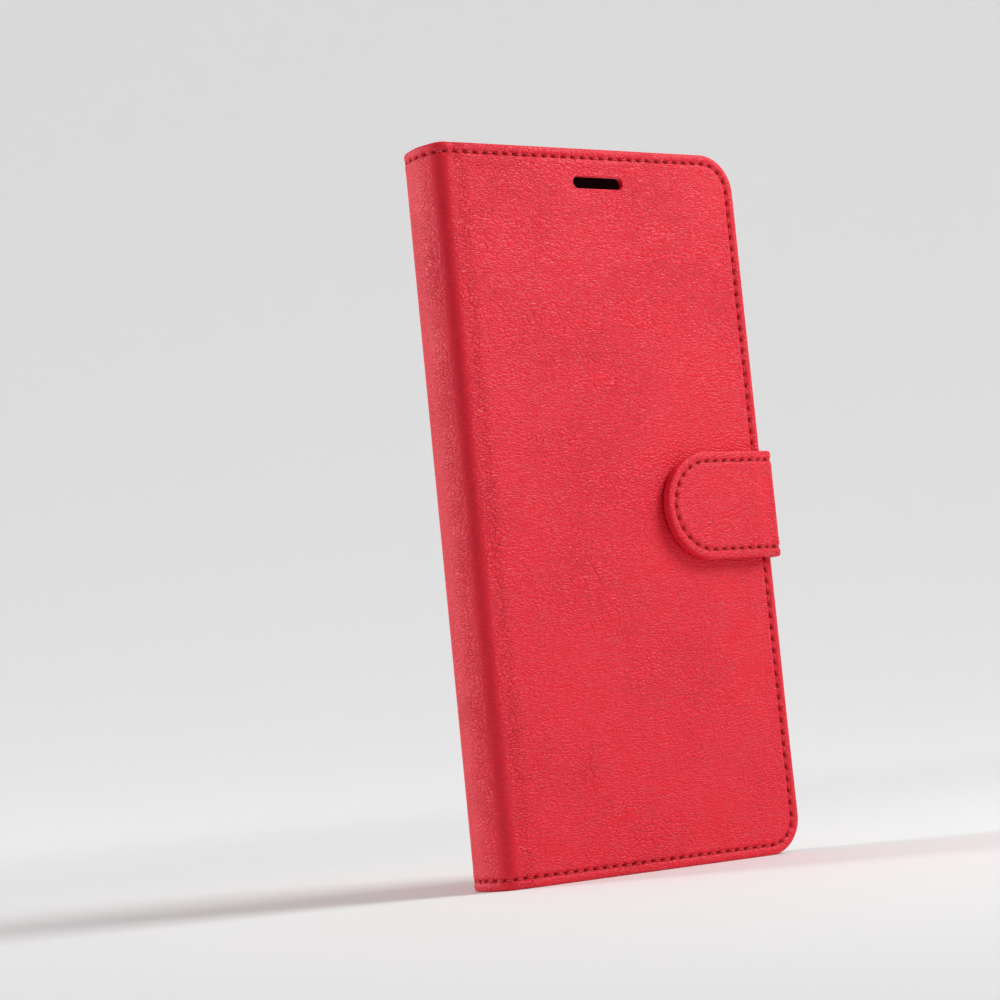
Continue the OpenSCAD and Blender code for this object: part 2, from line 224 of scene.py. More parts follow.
# %% Rows of points
INNER, NO_HOLE = 50.0, 99.0  # distances from the edge and from a hole at which neither is felt
STITCH, PIT_DEPTH = 8, 0.42


class Rows:
    """Collects flat (s, z) points with their heights and marks, and hands out their indices."""

    def __init__(self):
        self.flat, self.up, self.pit, self.rim, self.count = [], [], [], [], 0

    def add(self, flat, up, pit=0.0, rim=0.0):
        first, self.count = self.count, self.count + len(flat)
        self.flat.append(flat)
        for store, values in ((self.up, up), (self.pit, pit), (self.rim, rim)):
            store.append(np.broadcast_to(values, len(flat)))
        return first + np.arange(len(flat))


def stitch_pits(ring, d, gap, inset, where):
    """Slots in the ring inset by d: e to the minus u^4 along it, minus the square of d from a leaning line."""
    along = np.arange(len(ring))
    u = ((along + STITCH // 2) % STITCH - STITCH // 2) / STITCH * gap
    lean = 0.16 * np.sign(0.5 - along / len(ring)) * u
    return np.exp(-((u / 0.62) ** 4) - ((d - inset - lean) / 0.34) ** 2) * where(*ring.T)


def outline_rows(rows, size, counts, steps, height_at, pits):
    """Rings from the underside, round the edge and in over the top; returns the points in one ring."""
    for d, share in steps:
        ring = edge_ring(*size, d, counts)
        pit = stitch_pits(ring, d, *pits) if share is None else 0.0
        rows.add(ring, height_at(*ring.T, d, NO_HOLE, share) - PIT_DEPTH * pit, pit, hump(d, 0.15, 0.75))
    return len(ring)


def hole_rows(rows, loop_at, steps, height_at):
    """Rings from the underside, up through a hole and outwards over the top, as a grid of indices."""
    grid = []
    for e, share in steps:
        ring = loop_at(e)
        grid.append(rows.add(ring, height_at(*ring.T, INNER, e, share), rim=hump(e, 0.0, 0.7)))
    return np.array(grid)


print("a stitch takes", STITCH, "columns of points")

# %% [markdown]
# The flat middles are filled with triangles through rows of points, which are close together
# only where the leather bends. The underside has half as many, since nobody sees its relief.

# %% Sheet builder
def middle_points(size, last, s_lines, z_step, reaches):
    """Points on the lines s_lines, every other line half a step up, clear of the last ring and the holes."""
    length, height, radius = size
    z = np.arange(last + 0.5 * z_step, height - last, z_step)
    s, z = np.meshgrid(s_lines[s_lines > 0.1], z, indexing="ij")
    z = z + (np.arange(len(s)) % 2)[:, None] * 0.5 * z_step
    s, z = s.ravel(), z.ravel()
    past_s, past_z = s - (length - radius), np.maximum(radius - z, z - (height - radius))
    corner = np.hypot(np.maximum(past_s, 0), np.maximum(past_z, 0))
    keep = (s < length - last - 0.5) & (z > last + 0.5) & (z < height - last - 0.5)
    keep &= (corner < radius - last - 0.4) | (corner == 0) | (past_s < 0)
    points = np.stack([s, z], -1)[keep]
    for reach in reaches:
        points = points[far_from(points, reach, 0.55) & ~inside_loop(points, reach)]
    return points


def nowhere(s, z):
    return 0 * s


def build_sheet(name, place, size, counts, insets, under, slow, detail, thick, s_lines, z_step, pits,
                holes=(), hole_steps=(), hole_under=(), crumple_and_shade=nowhere, uv_sign=1, uv_shift=0.0):
    """A closed sheet. place(s, z, h) gives points. slow(s, z) is the relief that both faces follow and
    detail(s, z, d, e) what only the upper one shows. under is the (inset, share of the thickness)
    pairs of the edge and underside, and pits the stitch holes' gap, inset and place."""
    def height_at(s, z, d, e, share):
        return slow(s, z) + (detail(s, z, d, e) if share is None else -share * thick(s))

    rows, last, height = Rows(), insets[-1], size[1]
    steps = [*under[::-1], *((d, None) for d in insets)]
    n = outline_rows(rows, size, counts, steps, height_at, pits)
    faces = [bands(0, len(steps), n, False)]
    hole_at = [*hole_under[::-1], *((e, None) for e in hole_steps)]
    grids = [hole_rows(rows, loop_at, hole_at, height_at) for loop_at in holes]
    faces += [bands(grid[0, 0], *grid.shape, True) for grid in grids]

    # the flat middles, each with the line of points at the middle of the spine
    line = np.arange(last, height - last, z_step)[1:]
    line = line[line < height - last - 0.4 * z_step]
    middle = middle_points(size, last, s_lines, z_step, [loop_at(hole_steps[-1]) for loop_at in holes])
    sparse = middle[::2]
    ids = []
    for z, flat, share in ((line, middle, None), (line[::4], sparse[sparse[:, 0] > 0.6], under[-1][1])):
        for points in (np.stack([0 * z, z], -1), flat):
            ids.append(rows.add(points, height_at(*points.T, INNER, NO_HOLE, share)))
    spine_top, top_ids, spine_low, low_ids = ids
    flat, column = np.concatenate(rows.flat), np.arange(len(steps)) * n
    top_edge = np.concatenate([column[-1] + np.arange(n), spine_top[::-1]])
    low_edge = np.concatenate([np.arange(n), spine_low[::-1]])
    faces.append(fill(flat, top_edge, [grid[-1] for grid in grids], top_ids))
    faces.append(fill(flat, low_edge, [grid[0] for grid in grids], low_ids)[:, ::-1])
    faces.append(np.concatenate([column, spine_top, (column + n - 1)[::-1], spine_low[::-1]])[None])
    uv = np.stack([uv_sign * flat[:, 0] + uv_shift, flat[:, 1]], -1) / UV_MM
    # crease mark: wrinkles where above 0, painted shade over the front bend where below 0; rim lightens edges as
    # part wear and part painted highlight; pit paints shade into stitch holes
    marks = {"pit": np.concatenate(rows.pit), "rim": np.concatenate(rows.rim), "crease_and_bend_shade": crumple_and_shade(*flat.T)}
    return make_piece(name, place(*flat.T, np.concatenate(rows.up)), faces, uv, marks)


print("sheet builder ready")

# %% [markdown]
# ## Where the covers' skin runs
# Both skins start at the middle of the spine. The path goes straight along the spine, turns a
# quarter circle, and then lies flat. The place of a point is the circle's centre plus the
# radius along the outward normal, plus whatever straight run comes before or after the turn.

# %% Path of the covers
CASE_H, CORNER = 168.0, 9.0
RUN = 4.5  # from mid-spine to the start of either bend
bends = {"front": dict(g=-1, r=3.0, cx=-40.0, cy=-12.0), "back": dict(g=1, r=4.0, cx=-39.0, cy=-3.0)}


def cover_place(side):
    """Returns place(s, z, h): s mm from mid-spine along the skin, z up, h mm out along the normal."""
    g, r, cx, cy = (bends[side][k] for k in ("g", "r", "cx", "cy"))

    def place(s, z, h):
        a = np.clip((s - RUN) / r, 0, math.pi / 2)
        nx, ny = -np.cos(a), g * np.sin(a)
        run, before = np.maximum(s - RUN - r * math.pi / 2, 0), np.maximum(RUN - s, 0)
        return np.stack([cx + (r + h) * nx + run, cy + (r + h) * ny - g * before, z + 0 * s], -1)
    return place


def front_x(x):
    """Distance along the front skin at the place x across the case, on its flat part."""
    return x + 40.0 + RUN + 1.5 * math.pi


def back_x(x):
    return x + 39.0 + RUN + 2 * math.pi


FREE_EDGE, STAND_FOLD = 43.0, back_x(-9.0)
front_len, back_len = front_x(FREE_EDGE), back_x(FREE_EDGE)
print("skin lengths:", round(front_len, 2), round(back_len, 2), "mm")

# %% [markdown]
# ## Holes
# The back has a camera window: an upright pill with a round lobe on one side and a small fillet
# in each inner corner. The front has a narrow slot for the earpiece. Both are made of arcs, so
# a copy set outwards by e only changes the radii: outer arcs grow by e and fillets shrink by e.

# %% Hole outlines
def arc(cx, cz, r, a0, a1, n):
    """n + 1 points on a circle from angle a0 to a1, in degrees."""
    a = np.radians(np.linspace(a0, a1, n + 1))
    return np.stack([cx + r * np.cos(a), cz + r * np.sin(a)], -1)


def window_loop(e):
    """The camera window set outwards by e, clockwise, in back-skin coordinates."""
    parts = [arc(0, 8.5, 10 + e, 0, 180, 40), arc(-12.5, 8.5, 2.5 - e, 0, -90, 9),
             arc(-16, 0, 6 + e, 90, 270, 26), arc(-12.5, -8.5, 2.5 - e, 90, 0, 9),
             arc(0, -8.5, 10 + e, 180, 360, 40)]
    side = np.stack([np.full(8, 10 + e), np.linspace(-8.5, 8.5, 10)[1:-1]], -1)
    loop = np.concatenate([parts[0], parts[1][1:], parts[2], parts[3], parts[4][1:], side])
    return (loop + [back_x(23.4), 143.4])[::-1]


def slot_loop(e):
    """The earpiece slot set outwards by e, clockwise, in front-skin coordinates."""
    across = np.linspace(-5.85, 5.85, 14)[1:-1]
    parts = [arc(5.85, 0, 1.4 + e, -90, 90, 14), np.stack([across[::-1], np.full(12, 1.4 + e)], -1),
             arc(-5.85, 0, 1.4 + e, 90, 270, 14), np.stack([across, np.full(12, -1.4 - e)], -1)]
    return (np.concatenate(parts) + [front_x(2.0), 159.9])[::-1]


print("window points:", len(window_loop(0)), " slot points:", len(slot_loop(0)))

# %% [markdown]
# ## The relief of the leather
# On the real case the leather is folded round the board, so its edge is a soft roll. A row of
# stitches pulls it down into a groove, and the leather stands a little proud on both sides of
# it. The spine is slightly padded, the hinge beside it is pressed in and wrinkled, and the back
# has a scored fold for standing the phone up. Each of those is one term in a height function.

# %% Relief functions
SEAM_IN, HINGE_AT = 2.3, 10.7  # the stitch line's distance from the edge, and the hinge's from mid-spine


def waves(s, z):
    """Slow unevenness, between about -1 and 1: a few long sine waves crossing at odd angles."""
    return (np.sin(s / 11.0 + z / 23.0 + 0.7) + np.sin(z / 13.0 - s / 17.0 + 2.1) + np.sin(s / 7.3 - z / 31.0)
            + np.sin(z / 8.1 + s / 29.0 + 4.0)) / 3


def wrinkles(s, z):
    """Short slanting folds: a sine across a wandering diagonal, broken up by a second sine."""
    lean = z + 0.85 * s + 1.1 * np.sin(z / 2.7 + 0.6 * s)
    breaks = np.sin(z / 1.9 - s / 0.9 + 1.3 * np.sin(z / 6.1))
    return np.sin(lean * 2 * math.pi / 1.7) * (0.55 + 0.45 * breaks)


def seam(d, roll, rim, groove, shoulder, shoulder_at=3.5):
    """From the distance d to the edge: rolled edge, rim, stitch groove and the shoulder inside it."""
    return (-rounding(d, roll) + rim[0] * hump(d, rim[1], 0.5) - groove * hump(d, SEAM_IN, 0.42)
            + shoulder * hump(d, shoulder_at, 0.7))


def cover_seam(d):
    return seam(d, 0.7, (0.11, 1.15), 0.27, 0.07)


def padding(s, z, shift=0.0):
    """The spine's padding, most at mid-spine and nothing at the bend, and the slow waves of the flat."""
    pad = 0.85 * np.cos(np.clip(s / 6.4, 0, 1) * math.pi / 2) ** 2
    return pad + 0.10 * waves(s + shift, z) * ease(s, 14, 26)


def near_ends(z, reach):
    """1 at the top and bottom edges, falling away over the reach."""
    return np.exp(-np.minimum(z, CASE_H - z) / reach)


def front_slow(s, z):
    return padding(s, z) - 0.17 * hump(s, HINGE_AT, 1.5)


def back_slow(s, z):
    return padding(s, z, 40) - 0.30 * hump(s, STAND_FOLD, 0.85)


def front_detail(s, z, d, e):
    """The seam, the wrinkles beside the hinge, and the rolled rim of the earpiece slot."""
    creased = plateau(s, 8.8, 10.0, 11.5, 15.5) * (0.5 + 0.5 * ease(z, 20, 150))
    return cover_seam(d) + 0.07 * wrinkles(s, z) * creased - rounding(e, 0.35) - 0.13 * hump(e, 0.9, 0.7)


def back_detail(s, z, d, e):
    """The seam, the wrinkles along the stand fold, and the rolled rim of the camera window."""
    creased = hump(s, STAND_FOLD, 1.6) * (0.25 + 0.75 * near_ends(z, 8))
    return cover_seam(d) + 0.10 * wrinkles(s, z) * creased - rounding(e, 0.6) + 0.05 * hump(e, 1.0, 0.5)


def front_crumple_and_bend_shade(s, z):
    """Towards 1 where the leather is crumpled beside the hinge, below 0 over the bend by the spine, where it
    paints shade.
    """
    return 0.7 * plateau(s, 8.6, 9.8, 12.0, 15.5) - 0.75 * plateau(s, 3.6, 5.4, 8.2, 9.4)


def back_crumple(s, z):
    """Crumpled along the stand fold, and most of all at its ends."""
    return hump(s, STAND_FOLD, 2.0) * (0.35 + 0.65 * near_ends(z, 9))


print("groove depth, mm:", round(float(-cover_seam(SEAM_IN)), 2))

# %% [markdown]
# ## The two leather skins
# Each skin is one piece from mid-spine to the free edge, so the hinge is unbroken leather, as it
# is on the real case. The stitch count along each straight is a whole number, eight points to a
# stitch, so a hole always falls on a column of points.

# %% Skins
cover_counts = tuple(n * STITCH for n in (30, 4, 54, 4, 30))
top_insets = (0, 0.08, 0.22, 0.42, 0.7, 1.0, 1.35, 1.7, 1.95, 2.15, 2.3, 2.45, 2.65, 2.95, 3.4, 3.9, 4.4)
under_edge = ((0, 0.62), (0, 0.8), (0.06, 0.93), (0.3, 1.0), (3.4, 1.0), (3.9, 0.57))


def steady(thickness):
    return lambda s: thickness + 0 * s


def everywhere(s, z):
    return np.ones_like(s)


sides = {
    "front": dict(length=front_len, slow=front_slow, detail=front_detail, crumple_and_shade=front_crumple_and_bend_shade, uv_sign=1,
                  hole=slot_loop, hole_steps=(0, 0.05, 0.15, 0.3, 0.55, 0.9, 1.6),
                  hole_under=((0, 0.6), (0.05, 0.95), (0.4, 1.0), (2.0, 0.57)),
                  lines=np.concatenate([np.arange(0, 3.6, 0.7), np.arange(3.9, 15.5, 0.42),
                                        np.arange(16.2, 90, 1.5)])),
    "back": dict(length=back_len, slow=back_slow, detail=back_detail, crumple_and_shade=back_crumple, uv_sign=-1,
                 hole=window_loop, hole_steps=(0, 0.06, 0.18, 0.36, 0.6, 1.0, 1.6),
                 hole_under=((0, 0.7), (0.05, 0.95), (0.4, 1.0), (2.2, 0.57)),
                 lines=np.concatenate([np.arange(0, 3.6, 0.7), np.arange(3.9, 12.5, 0.45),
                                       np.arange(13.4, 37.5, 1.5), np.arange(38.3, 43.6, 0.42),
                                       np.arange(44.7, 90, 1.5)]))}
cover_pits = (2.78, SEAM_IN, everywhere)
skins = {}
for side, m in sides.items():
    skins[side] = build_sheet(side + "_leather", cover_place(side), (m["length"], CASE_H, CORNER), cover_counts,
                              top_insets, under_edge, m["slow"], m["detail"], steady(1.4), m["lines"], 0.9,
                              cover_pits, [m["hole"]], m["hole_steps"], m["hole_under"], m["crumple_and_shade"],
                              m["uv_sign"])

# %% [markdown]
# ## The linings
# The inside is a thinner sheet glued over the folded edge, so it ends a little inside the
# cover's edge. It is the same kind of sheet, laid on the far side of the board: its own height
# is measured inwards from the covers' inner face, two millimetres under the outer skin.

# %% Linings
def lining_place(side):
    outer = cover_place(side)
    return lambda s, z, h: outer(s, z, -2.0 - h)


def lining_slow(side):
    """Over the bend, the lining goes in wherever the outer leather does."""
    outer = sides[side]["slow"]
    return lambda s, z: -np.minimum(outer(s, z), 0) * (1 - ease(s, 12, 14))


def lining_detail(s, z, d, e):
    creased = (1 - ease(s, 12, 14)) * ease(s, 7, 9)
    h = -rounding(d - 0.3, 0.22) - 0.13 * hump(d, SEAM_IN, 0.4) + 0.05 * wrinkles(s, z) * creased
    return h - rounding(e - 0.3, 0.22)


lining_insets = (0.3, 0.34, 0.42, 0.55, 0.9, 1.5, 1.85, 2.1, 2.3, 2.5, 2.75, 3.3, 4.4)
lining_under = ((0.3, 0.6), (0.34, 1.0), (4.0, 1.0))
linings = {}
for side, m in sides.items():
    linings[side] = build_sheet(side + "_lining_sheet", lining_place(side), (m["length"], CASE_H, CORNER),
                                cover_counts, lining_insets, lining_under, lining_slow(side), lining_detail,
                                steady(0.56), m["lines"], 1.4, cover_pits, [m["hole"]],
                                (0.3, 0.34, 0.42, 0.55, 0.9, 1.5), ((0.3, 0.6), (0.34, 1.0), (2.0, 1.0)),
                                uv_sign=m["uv_sign"], uv_shift=130 * m["uv_sign"])

# %% [markdown]
# ## The strap
# The strap is two layers of leather sewn together. It leaves the back cover through the edge
# seam, thin there so that the seam can hold it, crosses the phone's side and folds over the
# front as a padded tab with a round end. It is built in two halves, which meet halfway across the
# side, where neither of them bends.

# %% Strap path
STRAP_LOW, STRAP_W, STRAP_BEND, STRAP_X = 70.25, 25.5, 1.9, 43.3
ROOT_RUN, TAB_RUN = 6.8, 7.0  # straight beside the phone, before each bend


def strap_place(first_run, centre_y, g):
    """A straight of first_run mm beside the phone, a quarter turn, then flat inwards."""
    def place(s, z, h):
        a = np.clip((s - first_run) / STRAP_BEND, 0, math.pi / 2)
        nx, ny = np.cos(a), g * np.sin(a)
        run, before = np.maximum(s - first_run - STRAP_BEND * math.pi / 2, 0), np.maximum(first_run - s, 0)
        x, y = STRAP_X + (STRAP_BEND + h) * nx - run, centre_y + (STRAP_BEND + h) * ny - g * before
        return np.stack([x, y, z + STRAP_LOW], -1)
    return place


def strap_seam(d):
    return seam(d, 0.6, (0.06, 1.2), 0.2, 0.05, 3.4)


def root_thin(s):
    """The root is thinned to fit into the cover's seam: 0 outside it and 1 within."""
    return ease(s, 8.3, 10.1)


def tab_pad(s):
    return 0.8 * ease(s, 10.4, 15.5)


def tab_detail(s, z, d, e):
    return strap_seam(d) + 0.05 * waves(s * 2, z * 2) * ease(s, 14, 20) + 0.10 * hump(s, 8.4, 1.6)


strap_insets = (0, 0.07, 0.18, 0.36, 0.6, 0.95, 1.35, 1.7, 1.95, 2.15, 2.3, 2.45, 2.65, 2.95, 3.5, 4.4)
strap_under = ((0, 0.44), (0.16, 0.5), (0, 0.56), (0, 0.76), (0.09, 0.88), (0.3, 0.97), (0.6, 1.0), (1.6, 1.0),
               (2.1, 0.985), (2.3, 0.94), (2.5, 0.985), (3.2, 1.0), (4.4, 1.0))
root = dict(place=strap_place(ROOT_RUN, -1.2, 1), size=(ROOT_RUN + STRAP_BEND * math.pi / 2 + 3.5, STRAP_W, 4.5),
            counts=(4 * STITCH, 12, 24, 12, 4 * STITCH), slow=lambda s, z: -0.5 * root_thin(s),
            thick=lambda s: 1.6 - root_thin(s))
tab = dict(place=strap_place(TAB_RUN, -15.0, -1), size=(TAB_RUN + STRAP_BEND * math.pi / 2 + 32.3, STRAP_W, 12.75),
           counts=(11 * STITCH, 6 * STITCH, 0, 6 * STITCH, 11 * STITCH), slow=lambda s, z: tab_pad(s),
           thick=lambda s: 1.6 + tab_pad(s))
strap_root = build_sheet("strap_root", insets=strap_insets, under=strap_under, s_lines=np.arange(0, 13, 0.5),
                         detail=lambda s, z, d, e: strap_seam(d) * (1 - 0.6 * root_thin(s)), z_step=0.9,
                         pits=(2.2, SEAM_IN, lambda s, z: 1.0 * (s < 9.0)), uv_sign=-1, uv_shift=240, **root)
strap_tab = build_sheet("strap_tab_leather", insets=strap_insets, under=strap_under, detail=tab_detail,
                        s_lines=np.concatenate([np.arange(0, 16, 0.5), np.arange(16.8, 42, 0.9)]), z_step=0.9,
                        pits=(2.7, SEAM_IN, everywhere), uv_shift=240, **tab)

# %% [markdown]
# ## Stitches
# A sewn stitch is a short length of thread that comes out of one hole and dives into the next.
# Each one is a capsule of six sides carried along the seam line: its height over the leather is
# flat in the middle and falls steeply at both ends. All of them are one array.

# %% Thread builder
SIDES_ROUND, STATIONS = 6, 9


def thread_runs(name, runs):
    """One mesh of many stitches. Each run is (place, line, starts, height, radius, base): the path, the
    points of its line of columns, the column that each stitch starts at, the thread's height over
    the leather, its radius, and the leather's own height base(s, z)."""
    all_points, all_faces, all_uv, count = [], [], [], 0
    station = np.linspace(-1, 1, STATIONS)
    around = np.arange(SIDES_ROUND) * 2 * math.pi / SIDES_ROUND
    swell = np.sqrt(np.maximum(1 - np.abs(station) ** 6, 0.02))
    for place, line, starts, height, radius, base in runs:
        t = starts[:, None] + STITCH * (0.5 + 0.34 * station[None])
        column = np.arange(len(line))
        s, z = np.interp(t, column, line[:, 0]), np.interp(t, column, line[:, 1])
        ds, dz = np.gradient(s, axis=1), np.gradient(z, axis=1)
        reach = np.hypot(ds, dz)
        r = (radius * swell)[None, :, None]
        ps = s[..., None] + (-dz / reach)[..., None] * r * np.cos(around)
        pz = z[..., None] + (ds / reach)[..., None] * r * np.cos(around)
        dive = height - 0.7 * np.abs(station) ** 5
        ph = (base(s, z) + dive)[..., None] + r * np.sin(around) + 0 * ps
        points = place(ps.ravel(), pz.ravel(), ph.ravel())
        grid = np.arange(ps.size).reshape(ps.shape)
        nxt = np.roll(grid, -1, 2)
        quads = np.stack([grid[:, :-1], nxt[:, :-1], nxt[:, 1:], grid[:, 1:]], -1).reshape(-1, 4)
        ends = np.concatenate([grid[:, 0][:, ::-1], grid[:, -1]])
        if signed_volume(points, [quads, ends]) < 0:
            quads, ends = quads[:, ::-1], ends[:, ::-1]
        all_faces += [quads + count, ends + count]
        all_points.append(points)
        u = station[None, :, None] * 1.3 + starts[:, None, None] + 0 * ps
        v = np.arange(SIDES_ROUND) / SIDES_ROUND + 0 * ps
        all_uv.append(np.stack([u.ravel(), v.ravel()], -1))
        count += len(points)
    return make_piece(name, np.concatenate(all_points), all_faces, np.concatenate(all_uv), sharp=180)


pocket_nodes = ("cash_pocket", "card_slot_outer", "card_slot_middle", "card_slot_inner")
pocket_box = {node: [np.array(corner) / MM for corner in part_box(node)] for node in pocket_nodes}


def over_pockets(s, z):
    """Height of the stack of pockets on the lining: each adds its thickness in its box, eased at the rim."""
    height = np.zeros_like(s)
    for low, high in pocket_box.values():
        edge, (z0, z1) = front_x(low[0]), (low[2], high[2])
        inside = ease(s, edge - 0.3, edge + 0.3) * plateau(z, z0 - 0.3, z0 + 0.3, z1 - 0.3, z1 + 0.3)
        height = height + (high[1] - low[1]) * inside
    return height


print("pocket boxes, mm:", {node: (high - low).round(1).tolist() for node, (low, high) in pocket_box.items()})

# %% [markdown]
# The covers are sewn all round, the card slots along their bottom and top, and the strap round
# its edge. Where both faces show, the same line is sewn again on the far side, lying lower.

# %% Threads
cover_starts = np.arange(0, sum(cover_counts), STITCH)
cover_runs = {}
for side, m in sides.items():
    ring = edge_ring(m["length"], CASE_H, CORNER, SEAM_IN, cover_counts)
    lined = lining_slow(side)
    if side == "front":
        lined = lambda s, z, under=lined: under(s, z) + over_pockets(s, z)
    cover_runs[side] = [(cover_place(side), ring, cover_starts, -0.20, 0.23, m["slow"]),
                        (lining_place(side), ring, cover_starts, -0.06, 0.2, lined)]
card_runs = []
CARD_PITCH = 2.8
for node in pocket_nodes[1:]:
    low, high = pocket_box[node]
    x_to = 40.7 if node == "card_slot_inner" else low[0] + 9.0
    n = int((x_to - low[0] - 1.0) / CARD_PITCH)
    for z in (low[2] + 1.1, high[2] - 1.1):
        across = np.linspace(low[0] + 0.9, low[0] + 0.9 + CARD_PITCH * n, n * STITCH + 1)
        line = np.stack([front_x(across), z + 0 * across], -1)
        card_runs.append((lining_place("front"), line, np.arange(n) * STITCH, -0.04, 0.18, over_pockets))


def strap_runs(part, starts):
    """The seam of the strap on its upper face and again on its underside."""
    place, slow, thick = part["place"], part["slow"], part["thick"]
    ring = edge_ring(*part["size"], SEAM_IN, part["counts"])

    def below(s, z, h):
        return place(s, z, slow(s, z) - thick(s) - h)
    starts = starts(len(ring) - 1)
    return [(place, ring, starts, -0.14, 0.21, slow), (below, ring, starts, -0.05, 0.2, nowhere)]


front_thread = thread_runs("front_thread", cover_runs["front"])
card_thread = thread_runs("card_thread", card_runs)
back_thread = thread_runs("back_thread", cover_runs["back"])
four = np.arange(4) * STITCH
web_thread = thread_runs("web_thread", strap_runs(root, lambda end: np.concatenate([four, end - STITCH - four])))
tab_thread = thread_runs("tab_thread", strap_runs(tab, lambda end: np.arange(0, end, STITCH)))

# %% [markdown]
# ## Pockets
# Inside the front cover are a cash pocket and three card slots, each a thin panel a little
# shorter than the one under it. A panel is a grid: across from its free edge, which dips in a
# thumb notch, to the seam at the cover's edge. The free edge is folded, so it is rounded and has
# a pressed line beside it.

# %% Pocket panels
NOTCH_R, NOTCH_SUNK = 10.0, 4.0  # the thumb notch is a circle whose centre lies outside the edge
end_rows, seam_rows = np.array([0, 0.06, 0.2, 0.5]), np.array([0.75, 1.1, 1.35, 1.7, 2.4])
far_rows = np.array([3, 2.2, 1.7, 1.4, 1.1, 0.8, 0.5, 0.3, 0.12, 0.04, 0])


def thumb_notch(offset):
    """Depth of the notch at a height offset from its middle: a circle sunk past the edge, with a soft start."""
    dip = np.sqrt(np.maximum(NOTCH_R**2 - offset**2, 0)) - NOTCH_SUNK
    return np.maximum(dip, 0) + 0.25 * np.log1p(np.exp(-np.abs(dip) / 0.25)) * (np.abs(offset) < 10.4)


def pocket_panel(node, low, high):
    """Grid point (u, v): x goes from the free edge, set in by the notch at that height, to the seam."""
    cash = node == "cash_pocket"
    corner = 7.8 if cash else 0.9
    (x0, y_top, z0), (x1, y_low, z1) = low, high
    width, thick, mid = x1 - x0, y_low - y_top, (z0 + z1) / 2
    v = np.unique(np.concatenate([z0 + end_rows, np.linspace(z0 + 1, z1 - 1, 90), z1 - end_rows,
                                  np.linspace(mid - 10.5, mid + 10.5, 64), z0 + seam_rows, z1 - seam_rows]))
    u = np.concatenate([[0, 0.04, 0.12, 0.28, 0.5, 0.9, 1.15, 1.4, 1.65, 1.9, 2.4, 3.5],
                        np.linspace(5, width - 4, 16), width - far_rows])
    uu, vv = np.meshgrid(u, v, indexing="ij")
    past = np.maximum(np.abs(vv - mid) - ((z1 - z0) / 2 - corner), 0)
    seam_x = x1 - np.maximum(0, corner - np.sqrt(np.maximum(corner**2 - past**2, 0)))
    soft = ease(uu / width, 0.2, 0.7)
    x = (x0 + thumb_notch(vv - mid) + uu) * (1 - soft) + (seam_x - (width - uu)) * soft
    to_bottom, to_end, to_seam = vv - z0, np.minimum(vv - z0, z1 - vv), width - uu
    edge = np.minimum(np.minimum(uu, to_seam), to_end)
    sewn = np.minimum(to_seam, to_bottom if cash else to_end)
    h = (-rounding(edge, min(0.18, thick * 0.45)) - 0.07 * hump(uu, 1.4, 0.28) + 0.03 * hump(uu, 0.7, 0.4)
         - 0.10 * hump(sewn, 1.1, 0.4) + 0.03 * hump(sewn, 2.0, 0.5))
    top = np.stack([x, y_top - h, vv], -1)
    under = np.stack([x, y_top + thick * 0.94 + 0 * x, vv], -1)
    top_id = np.arange(uu.size).reshape(uu.shape)
    low_id = top_id + uu.size

    def quads(g):
        return np.stack([g[:-1, :-1], g[1:, :-1], g[1:, 1:], g[:-1, 1:]], -1).reshape(-1, 4)
    ring = np.concatenate([top_id[:, 0], top_id[-1, 1:], top_id[-2::-1, -1], top_id[0, -2:0:-1]])
    wall = np.stack([ring, np.roll(ring, -1), np.roll(ring, -1) + uu.size, ring + uu.size], -1)
    points = np.concatenate([top.reshape(-1, 3), under.reshape(-1, 3)])
    uv = points[:, [0, 2]] / UV_MM + [3.2 + 0.1 * y_top, 0]
    # the rim mark lightens the folded edges: part wear, part painted highlight
    marks = {"rim": np.concatenate([hump(edge, 0.1, 0.5).ravel(), np.zeros(uu.size)])}
    return make_piece(node + "_leather", points, [quads(top_id), quads(low_id)[:, ::-1], wall[:, ::-1]], uv, marks)


pockets = {node: pocket_panel(node, *pocket_box[node]) for node in pocket_nodes}

# %% [markdown]
# ## Hard parts
# The tray that holds the phone is one soft-plastic moulding, and its shape in the CAD model is
# right. What it lacks is the small rounding every moulding has, so it gets two modifiers: Weld
# joins its loose triangles and Bevel rounds the sharp edges. The button pads get the same.

# %% Rounded mouldings
ROUND_ABOVE = math.radians(38)  # only edges sharper than this are rounded
pads = ("side_button_pad", "action_button_pad", "volume_up_pad", "volume_down_pad")


def round_edges(node, width):
    """Weld the CAD node's triangles and bevel its sharp edges by width mm."""
    piece = frame["nodes"][node]
    piece.modifiers.new("join", "WELD").merge_threshold = 0.01 * MM
    bevel = piece.modifiers.new("round", "BEVEL")
    bevel.width, bevel.segments, bevel.limit_method = width * MM, 3, "ANGLE"
    bevel.angle_limit, bevel.harden_normals = ROUND_ABOVE, False


round_edges("phone_tray", 0.22)
for pad in pads:
    round_edges(pad, 0.3)
print("rounded: the tray and", len(pads), "pads")
